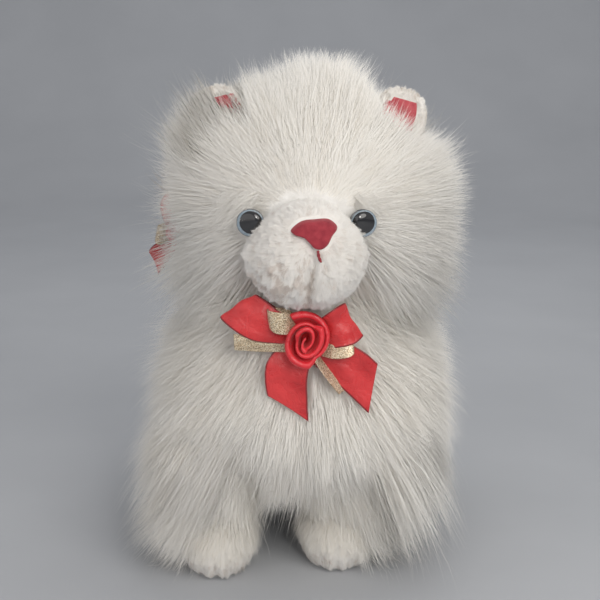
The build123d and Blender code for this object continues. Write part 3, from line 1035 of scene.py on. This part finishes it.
def rolled_rose(name, body, node, centre, out, size, deep, turns, phase, slant=0.26):
    """A rose rolled from a folded ribbon: an oval spiral, whose petals flare and overlap."""
    steps, across = 360, 16
    out = unit(out)
    side = unit(np.cross([0, 0, 1.0], out))
    up = np.cross(out, side)
    spin = np.linspace(0, 2 * math.pi * turns, steps)
    share = spin / spin[-1]
    verts = []
    for i in range(steps):
        angle = spin[i] + phase
        narrow = 0.46 + 0.48 * share[i] ** 0.7
        petal = (spin[i] * 0.74 / math.pi + 0.3) % 1.0  # each petal swells, then tucks under the next
        swell = petal if petal < 0.9 else (1 - petal) * 9
        reach = size * (0.13 + 0.75 * share[i] ** 0.9) * (0.88 + 0.20 * swell)
        high = deep * (1.0 - 0.50 * share[i] ** 1.2 + 0.10 * swell)
        flare = 0.34 + 0.26 * share[i]
        curl = size * (0.05 + 0.075 * share[i]) * (0.6 + 0.7 * swell)
        for v in np.linspace(0, 1, across):
            if v < 0.6:
                w = v / 0.6
                r, h = reach * (1 - flare * (1 - w) ** 1.3), high * w
            else:
                a = (v - 0.6) / 0.4 * math.radians(190)
                r, h = reach + curl * (1 - math.cos(a)), high + curl * math.sin(a)
            x, y = math.cos(angle) * r * narrow, math.sin(angle) * r * (1.0 - 0.06 * share[i])
            x, y = x * math.cos(slant) + y * math.sin(slant), y * math.cos(slant) - x * math.sin(slant)
            verts.append(centre + side * x + up * y + out * (h - deep * 0.5))
    o = mesh_object(f"{name}_petals", verts, strip(steps, across), [rose_satin])
    thicken(o, PETAL_THICK)
    dress(o, body, "red_satin", node)


rolled_rose(
    "ribbon_rose", "torso", "ribbon_rose", ROSE + mm(-0.6, 0.5, 1.8), (0.05, -1, 0.16),
    size=14.8 * MM, deep=13 * MM, turns=3.0, phase=2.4,
)

# the bow on the tail
BUD = middle("tail_bow_rosebud")
BOW_AT["tail"] = BUD.copy()
rolled_rose(
    "tail_rosebud", "tail", "tail_bow_rosebud", BUD + mm(-0.5, -4, 0), (-0.35, -1, 0.1),
    size=6.2 * MM, deep=8 * MM, turns=2.2, phase=0.4,
)
ribbon(
    "tail_bow_upper_loop", "tail",
    [(-6, 0, 3), (-8, 4, 10), (-9, 5, 18), (-6, 3, 24), (-4, -1, 23), (-3, -3, 14), (-3, -3, 3)],
    [(6, 0, 4), (7, 3, 11), (8, 4, 18), (9, 3, 25), (7, -1, 23), (6, -3, 14), (5, -3, 4)],
    RED, bulge=1.0,
)
ribbon(
    "tail_bow_lower_loop", "tail",
    [(-2, 0, -3), (-8, 4, -6), (-15, 5, -11), (-17, 3, -15), (-14, -1, -14), (-7, -3, -8), (-2, -3, -3)],
    [(3, 0, -9), (0, 3, -14), (-6, 4, -22), (-11, 3, -30), (-9, -1, -28), (-2, -3, -18), (2, -3, -9)],
    RED, bulge=1.0,
)
ribbon(
    "tail_bow_gold_loop", "tail",
    [(-3, 4, -6), (-8, 7, -9), (-12, 7, -8), (-12, 3, -5), (-7, 2, -4), (-3, 1, -4)],
    [(-3, 2, 1), (-6, 3, 3), (-10, 3, 3), (-11, -1, 3), (-7, -2, 4), (-3, -2, 3)],
    GOLD, bulge=0.2,
)
band_middle = middle("tail_bow_band")
band_line = [
    band_middle + mm(math.cos(a) * 16.5, math.sin(a) * 16.5, 3.0 * math.sin(a))
    for a in np.linspace(0, 2 * math.pi, 13)
]
BOW_AT["tail"] = np.zeros(3)
flip = np.array([1, -1, 1])
ribbon(
    "tail_bow_band", "tail",
    [p * flip / MM - np.array([0, 0, 4]) for p in band_line],
    [p * flip / MM + np.array([0, 0, 4]) for p in band_line],
    RED, bulge=0.3,
)

# ---- long hair
EYE_CLEAR = mm(7.0, 9, 6.4)
EYE_OPEN = mm(0, 0, -3.2)  # hair hangs over the top of each eye
BOW_CLEAR = [
    (ROSE + mm(0, -16, 0), mm(16, 22, 16)),
    (KNOT + mm(-24, -22, 13), mm(20, 16, 12)),
    (KNOT + mm(18, -22, 9), mm(13, 16, 11)),
    (KNOT + mm(-10, -22, -27), mm(14, 16, 24)),
    (KNOT + mm(22, -22, -14), mm(16, 16, 18)),
    (KNOT + mm(-24, -22, 1), mm(17, 16, 7)),
    (KNOT + mm(-2, -20, -38), mm(6, 16, 8)),
    (KNOT + mm(33, -20, -32), mm(7, 16, 9)),
]


BOX_LOW, BOX_HIGH = np.array(CAD_BOX[0]), np.array(CAD_BOX[1])
PROUD = (BOX_HIGH - BOX_LOW) * 0.03 + 9.5 * MM  # how far the pile may stand out of the CAD box
ROOM_LOW, ROOM_HIGH = BOX_LOW - PROUD, BOX_HIGH + PROUD
AMPLE = 9.0  # any share of a hair's length over 1


def fitted(line, rng):
    """Shortens the hairs that reach out of the room, each by its own amount."""
    root = line[:, :1]
    step = line - root
    with np.errstate(divide="ignore", invalid="ignore"):
        below = np.where(step < 0, (ROOM_LOW - root) / step, AMPLE)
        room = np.where(step > 0, (ROOM_HIGH - root) / step, below)
    share = limit(room.min((1, 2)))
    share[share < 1] *= rng.uniform(0.58, 1.0, (share < 1).sum())
    return root + step * share[:, None, None]


def trimmed(line, rng, extra=(), over=0.0):
    """Leaves out hairs that would cross the muzzle, the eyes or the bow."""
    good = clear_of(line, MUZZLE, np.array([MUZZLE_HALF, MUZZLE_ROUND, MUZZLE_ROUND]) * 1.03)
    for seat, look in eyes.values():
        inwards = np.array([np.sign(seat[0] - NOSE[0]) * 1.6 * MM, 0, 0])
        before = seat + look * 6 * MM + EYE_OPEN + inwards + DOWN * over
        good &= clear_of(line, before, EYE_CLEAR, 0.93, rng)
    for centre, radii in BOW_CLEAR:
        good &= clear_of(line, centre, radii, 0.985, rng)
    for centre, radii in extra:
        good &= clear_of(line, centre, radii)
    return good


def uneven(roots, rng, size=13 * MM, low=0.84, high=1.14, patches=160):
    """Longer and shorter patches in the coat."""
    centres = roots[rng.choice(len(roots), patches)]
    tree = KDTree(len(centres))
    for i, c in enumerate(centres):
        tree.insert(c, i)
    tree.balance()
    asked = roots + rng.normal(0, size * 0.25, roots.shape)
    patch = np.array([tree.find(q)[1] for q in asked])
    return rng.uniform(low, high, len(centres))[patch]


GUARD_SHARE = 0.11
WAVE_SIZE, WAVE_TURNS = 0.8 * MM, 1.2
LOWEST_HAIR, LOWEST_PLUSH = 0.8 * MM, 0.5 * MM


def at(rule, p, n):
    """A rule's value at the roots. A rule is a plain value, or a function of place and normal."""
    return rule(p, n) if callable(rule) else rule


def shaded_tones(shade):
    """Deals the three tones of hair out by shade, in their shares of the coat."""
    return np.searchsorted(np.quantile(shade, np.cumsum(FUR_MIX)[:-1]), shade)


def coat(
    name, body, skin, seed, per_mm2, comb, length, lift, droop, width,
    keep=None, extra=(), thin=(), locks=(3.6, 11.0), wild=0.10, over=0.0,
):
    """Long hair on one skin: comb, length in millimetres, lift and droop are rules."""
    rng = np.random.default_rng(SEED + seed)
    roots, normals = scatter(skin, per_mm2, rng, keep)
    lengths = at(length, roots, normals) * rng.uniform(0.70, 1.15, len(roots))
    lengths = lengths * uneven(roots, rng) * MM
    guard = rng.random(len(roots)) < GUARD_SHARE
    lengths[guard] *= rng.uniform(1.10, 1.50, guard.sum())
    stray = np.where(guard, wild * 1.6, wild)[:, None]
    combed, lifted, drooped = (at(rule, roots, normals) for rule in (comb, lift, droop))
    line = grow(roots, normals, combed, lengths, rng, lifted, drooped, wild=stray)
    small, large = locks
    line, _ = clump(line, large * MM, rng, 0.10, 0.45, power=1.5)
    line, lock = clump(line, small * MM, rng, 0.10, 0.62, power=1.7)
    reach = rng.uniform(0.80, 1.16, lock.max() + 1)[lock]
    line = line[:, :1] + (line - line[:, :1]) * reach[:, None, None]
    line = wave(line, rng, WAVE_SIZE, WAVE_TURNS)
    line = fitted(line, rng)
    line[:, :, 2] = np.maximum(line[:, :, 2], LOWEST_HAIR)
    good = trimmed(line, rng, extra, over)
    for centre, radii, share in thin:
        good &= clear_of(line, centre, radii, share, rng)
    line = line[good]
    tone_of_lock = rng.random(lock.max() + 1)
    shade = 0.55 * tone_of_lock[lock[good]] + 0.45 * rng.random(len(line))
    widths = width * np.where(guard[good], 0.62, rng.uniform(0.7, 1.3, len(line))) * MM
    hairs(name, body, line, rng, widths, FUR, normals[good], shaded_tones(shade))


EAR_CLEAR = []
for word, share, inset, rise, tall, deep in (
    ("left", 0.97, 8.5, 22, 6.6, 14),
    ("right", 0.72, 0, 14, 13, 24),
):
    ear_base, ear_along, ear_up, ear_front = ears[word]
    in_front = ear_base + ear_up * rise * MM + ear_front * (deep - 4) * MM + ear_along * inset * MM
    EAR_CLEAR.append((in_front, mm(18 - inset, deep, tall), share))
RIGHT_EAR = ears["right"][0] + ears["right"][2] * 12 * MM
LEFT_EAR = ears["left"][0] + ears["left"][2] * 10 * MM


def head_comb(p, n):
    away = flatten((p - FACE) * np.array([1, 0.45, 1]), n)
    low = 0.7 * limit((HEAD[2] - 6 * MM - p[:, 2:3]) / (38 * MM))
    aside = np.tanh((p[:, 0:1] - HEAD[0]) / (30 * MM))
    hang = unit(DOWN + aside * np.array([0.8, 0, 0]))
    return unit(away * (1 - low) + hang * low + np.array([0, 0.10, 0.04]))


def head_length(p, n):
    near = np.linalg.norm((p - FACE) * np.array([1, 0.6, 1]), axis=1) / MM
    crown = limit(n[:, 2] * 1.6 - 0.5)
    tuft = (19 * bell(p[:, 0] / MM - 12, 15) - 11) * crown
    fuller = 3 * limit(n[:, 0]) + 1 * limit(-n[:, 0])
    by_left = 9 * bell(np.linalg.norm(p - LEFT_EAR, axis=1), 24 * MM)
    jaw = 28 * limit((HEAD[2] - 4 * MM - p[:, 2]) / (28 * MM))
    from_right = np.linalg.norm(p - RIGHT_EAR - [0, -8 * MM, 0], axis=1)
    by_ear = 1 - 0.55 * bell(from_right, 24 * MM)
    return (np.clip(13 + (near - 24) * 0.85, 11, 36) + tuft + fuller + jaw + by_left) * by_ear


def head_lift(p, n):
    far = np.linalg.norm(p - FACE, axis=1) / MM
    flat = 0.12 * limit(-n[:, 0])
    return np.clip(0.26 + 0.0062 * (far - 22) - flat, 0.22, 0.66)


def head_keep(p, n):
    q = (p - MUZZLE) / (np.array([MUZZLE_HALF, MUZZLE_ROUND, MUZZLE_ROUND]) * 0.93)
    good = (q**2).sum(1) > 1
    for seat, _ in eyes.values():
        good &= np.linalg.norm(p - seat, axis=1) > 7.0 * MM
    return good


FRONT_VIEW = np.array(bpy.context.scene.camera.location)
CHEEK_CLEAR = [
    (BUD + (FRONT_VIEW - BUD) * share + mm(-3, 0, -3), mm(10, 16, 14), 0.80)
    for share in (0.09, 0.15, 0.21)
]
coat(
    "head_hair", "head", head_skin, 1, 3.4, head_comb, head_length, head_lift,
    lambda p, n: 0.08 + 0.42 * np.clip((HEAD[2] - p[:, 2]) / (45 * MM), -0.3, 1),
    0.27, keep=head_keep, thin=EAR_CLEAR + CHEEK_CLEAR, wild=0.14,
)

for seed, (word, (seat, _)) in enumerate(eyes.items()):
    outward = np.sign(seat[0] - NOSE[0])
    coat(
        f"{word}_brow_hair", "head", head_skin, 70 + seed, 2.6,
        unit([outward * 0.80, -0.70, -0.45]),
        16 - 3.5 * outward,
        0.34,
        0.42,
        0.22,
        keep=lambda p, n: (
            (np.abs(p[:, 0] - seat[0] - outward * 2 * MM) < 8 * MM)
            & (p[:, 2] - seat[2] > 4.0 * MM) & (p[:, 2] - seat[2] < 17 * MM) & (n[:, 1] < 0)
        ),
        locks=(2.4, 7.0), over=2.6 * MM,
    )
ear_base, ear_along, ear_up, ear_front = ears["left"]
coat(
    "left_ear_veil", "head", head_skin, 80, 5.0,
    unit(ear_up - ear_along * 0.22 + ear_front * 0.10),
    lambda p, n: 35 - 9 * np.clip((p - ear_base) @ ear_along / (14 * MM), -0.6, 1),
    0.16,
    0.02,
    0.26,
    keep=lambda p, n: (
        (np.abs((p - ear_base) @ ear_along + 3 * MM) < 19 * MM)
        & ((p - ear_base) @ ear_front > 0) & ((p - ear_base) @ ear_front < 15 * MM) & (n[:, 2] > 0)
    ),
    thin=EAR_CLEAR[:1],
)
coat(
    "left_ear_backing", "head", head_skin, 81, 4.0,
    unit(ear_up),
    22,
    0.25,
    0.0,
    0.27,
    keep=lambda p, n: (
        (np.abs((p - ear_base) @ ear_along) < 22 * MM)
        & ((p - ear_base) @ ear_front < -3 * MM) & ((p - ear_base) @ ear_front > -20 * MM) & (n[:, 2] > 0)
    ),
)


def torso_comb(p, n):
    back = limit(n[:, 2:3]) * (p[:, 1:2] > -10 * MM)
    aside = np.tanh((p[:, 0:1] - BODY[0]) / (34 * MM)) * np.array([0.62, 0, 0])
    return unit(flatten(DOWN * (1 - 0.8 * back) + np.array([0, 1.0, 0]) * back + aside, n) + aside * 0.5)


def torso_length(p, n):
    flank = limit(np.abs(n[:, 0]) * 1.5 - 0.3)
    hem = limit((96 * MM - p[:, 2]) / (26 * MM))
    right = limit((p[:, 0] - BODY[0]) / (30 * MM)) * (p[:, 1] < 45 * MM)
    between = (HIPS["front_left"][0] + HIPS["front_right"][0]) / 2 + 6 * MM
    tuft = 9 * hem * bell(p[:, 0] - between, 15 * MM) * (p[:, 1] < 0)
    outer = np.clip(np.abs(p[:, 0] - BODY[0]) / (40 * MM), 1.1, 1.3)
    return 37 + tuft + 9 * flank + 5 * limit(n[:, 0]) + 11 * hem * outer + 14 * hem * right


coat(
    "body_hair", "torso", torso_skin, 2, 2.5, torso_comb, torso_length,
    lambda p, n: (
        0.36 + 0.20 * limit(np.abs(n[:, 0])) + 0.22 * limit((p[:, 2] - 122 * MM) / (16 * MM))
    ),
    lambda p, n: 0.34 + 0.30 * limit((92 * MM - p[:, 2]) / (26 * MM)),
    0.28,
    keep=lambda p, n: ~((np.linalg.norm(p - NECK, axis=1) < 26 * MM) & (p[:, 2] > NECK[2])),
)
for seed, word, side, aside, reach in ((4, "left", -1, -0.62, 72), (5, "right", 1, 0.50, 74)):
    coat(
        f"{word}_fringe", "torso", torso_skin, seed, 2.2,
        unit(DOWN + np.array([aside, -0.05, 0])),
        lambda p, n: reach - 0.25 * (96 - p[:, 2] / MM),
        0.34,
        0.55,
        0.30,
        keep=lambda p, n: (
            (p[:, 2] < 104 * MM) & ((p[:, 0] - BODY[0]) * side > 30 * MM) & (p[:, 1] < 34 * MM)
        ),
    )
coat(
    "neck_hair", "neck", neck_skin, 3, 3.0,
    lambda p, n: flatten(DOWN, n),
    33,
    0.62,
    0.4,
    0.28,
    keep=lambda p, n: (p[:, 2] > NECK[2] - 12 * MM) & (n[:, 2] < 0.75),
)
for i, leg in enumerate(LEGS):
    hip = HIPS[leg]
    outward = np.sign(hip[0] - BODY[0])
    coat(
        f"{leg}_leg_hair", f"{leg}_leg", leg_skins[leg], 10 + i, 2.6,
        lambda p, n: unit(DOWN + np.array([outward * 0.36, 0.0, 0]) + n * np.array([0.4, 0.3, 0])),
        lambda p, n: (
            np.clip(19 + (p[:, 2] / MM - 20) * 0.5, 17, 31) + 20 * limit(n[:, 0] * outward)
        ),
        lambda p, n: 0.30 + 0.22 * limit(n[:, 0] * outward),
        0.40,
        0.30,
        keep=lambda p, n: p[:, 2] > 20 * MM,
    )
    coat(
        f"{leg}_instep_hair", f"{leg}_leg", paw_skins[leg], 60 + i, 5.0,
        lambda p, n: flatten(DOWN + np.array([outward * 0.2, -0.25, 0]), n),
        lambda p, n: np.clip(5 + (p[:, 2] / MM - 14) * 0.7, 4, 17),
        0.22,
        0.20,
        0.26,
        keep=lambda p, n: p[:, 2] > 15 * MM,
        locks=(2.6, 7.0),
    )


def tail_comb(p, n):
    near = np.argmin(np.linalg.norm(p[:, None] - TAIL_LINE[None], axis=2), axis=1)
    along = unit(np.gradient(TAIL_LINE, axis=0))[near]
    return flatten(along, n)


coat(
    "tail_hair", "tail", tail_skin, 20, 3.2, tail_comb,
    32,
    0.55,
    0.15,
    0.30,
    extra=[(BUD + mm(-4, -10, -4), mm(12, 14, 14))],
)


# ---- short plush
PLUSH_LIFT, PLUSH_DROOP, PLUSH_WIDTH, PLUSH_TUFT = 0.52, 0.1, 0.19, 2.7 * MM


def plush(name, body, skin, seed, per_mm2, length, comb, keep, shaded=None):
    """Short pile, which stands nearly upright and parts into small tufts."""
    rng = np.random.default_rng(SEED + seed)
    roots, normals = scatter(skin, per_mm2, rng, keep)
    lengths = length * rng.uniform(0.7, 1.15, len(roots))
    lengths = lengths * uneven(roots, rng, 3 * MM, 0.82, 1.12, 900) * MM
    combed = comb(roots, normals)
    line = grow(roots, normals, combed, lengths, rng, PLUSH_LIFT, PLUSH_DROOP, wild=0.13, points=4)
    line, lock = clump(line, PLUSH_TUFT, rng, 0.35, 0.95, power=1.3)
    line[:, :, 2] = np.maximum(line[:, :, 2], LOWEST_PLUSH)
    shade = 0.6 * rng.random(lock.max() + 1)[lock] + 0.4 * rng.random(len(line))
    if shaded is not None:
        shade = shade + shaded(roots)
    tones = shaded_tones(shade)
    widths = PLUSH_WIDTH * rng.uniform(0.7, 1.3, len(line)) * MM
    hairs(name, body, line, rng, widths, PLUSH, normals, tones, "short_pile", loose=0.26, softness=0.55)


def off_nose(p, n):
    """Keeps the plush outside the nose's outline and off the back of the muzzle."""
    q = np.stack([(p[:, 0] - NOSE_AT[0]) / MM, (p[:, 2] - NOSE_AT[2]) / MM], -1)
    angle = np.arctan2(q[:, 1], q[:, 0])
    edge = outline / MM
    edge_angle = np.arctan2(edge[:, 1], edge[:, 0])
    order = np.argsort(edge_angle)
    reach = np.interp(angle, edge_angle[order], np.linalg.norm(edge, axis=1)[order], period=2 * math.pi)
    outside = np.linalg.norm(q, axis=1) > reach + 0.4
    return (outside | (n[:, 1] > -0.1)) & (p[:, 1] < HEAD[1] - 30 * MM)


def painted_chin_shade(p):
    """Painted shade: deals the darker plush tones low on the left of the muzzle, in noisy patches, and
    along the seam's groove low on the muzzle.
    """
    q = (p - MUZZLE) / np.array([MUZZLE_HALF, MUZZLE_ROUND, MUZZLE_ROUND])
    shade_low_left = bell(q[:, 0] + 0.45, 0.38) * bell(q[:, 2] + 0.38, 0.34)
    patchy = np.array([noise.noise(Vector(v) / (5.0 * MM)) for v in p])
    seam = bell(q[:, 0] - SEAM_AT + 0.10 * (0.1 - q[:, 2]), 0.045) * (q[:, 2] < 0)
    return shade_low_left * (0.65 + 1.4 * patchy) + 0.9 * seam


MUZZLE_TIP = np.array([NOSE_AT[0], MUZZLE[1] - MUZZLE_ROUND, NOSE_AT[2]])
# the muzzle's plush takes painted shade low on its left and along its seam
plush(
    "muzzle_plush", "head", muzzle_skin, 30, 15.0, 4.8,
    lambda p, n: flatten(p - MUZZLE_TIP, n), off_nose, painted_chin_shade,
)
for i, leg in enumerate(LEGS):
    plush(
        f"{leg}_paw_plush", f"{leg}_leg", paw_skins[leg], 40 + i,
        7.5 if leg.startswith("front") else 4.5, 4.2,
        lambda p, n: flatten(np.array([0, -0.6, -0.5]), n), lambda p, n: p[:, 2] > 1.6 * MM,
    )
for i, word in enumerate(("left", "right")):
    base, along, up, front = ears[word]

    def off_lining(p, n, base=base, along=along, up=up, front=front):
        q = p - base
        u = np.abs(q @ along) / (EAR_WIDTH / 2)
        v = limit((q @ up) / EAR_TALL)
        inner = (n @ front > 0.1) & (u < 0.62 * np.sqrt(limit(1 - v**3.2))) & (v < 0.80)
        return ~inner

    plush(
        f"{word}_ear_plush", f"{word}_ear", bpy.data.objects[f"{word}_ear"], 50 + i, 8.0, 3.4,
        lambda p, n, up=up: flatten(up, n), off_lining,
    )
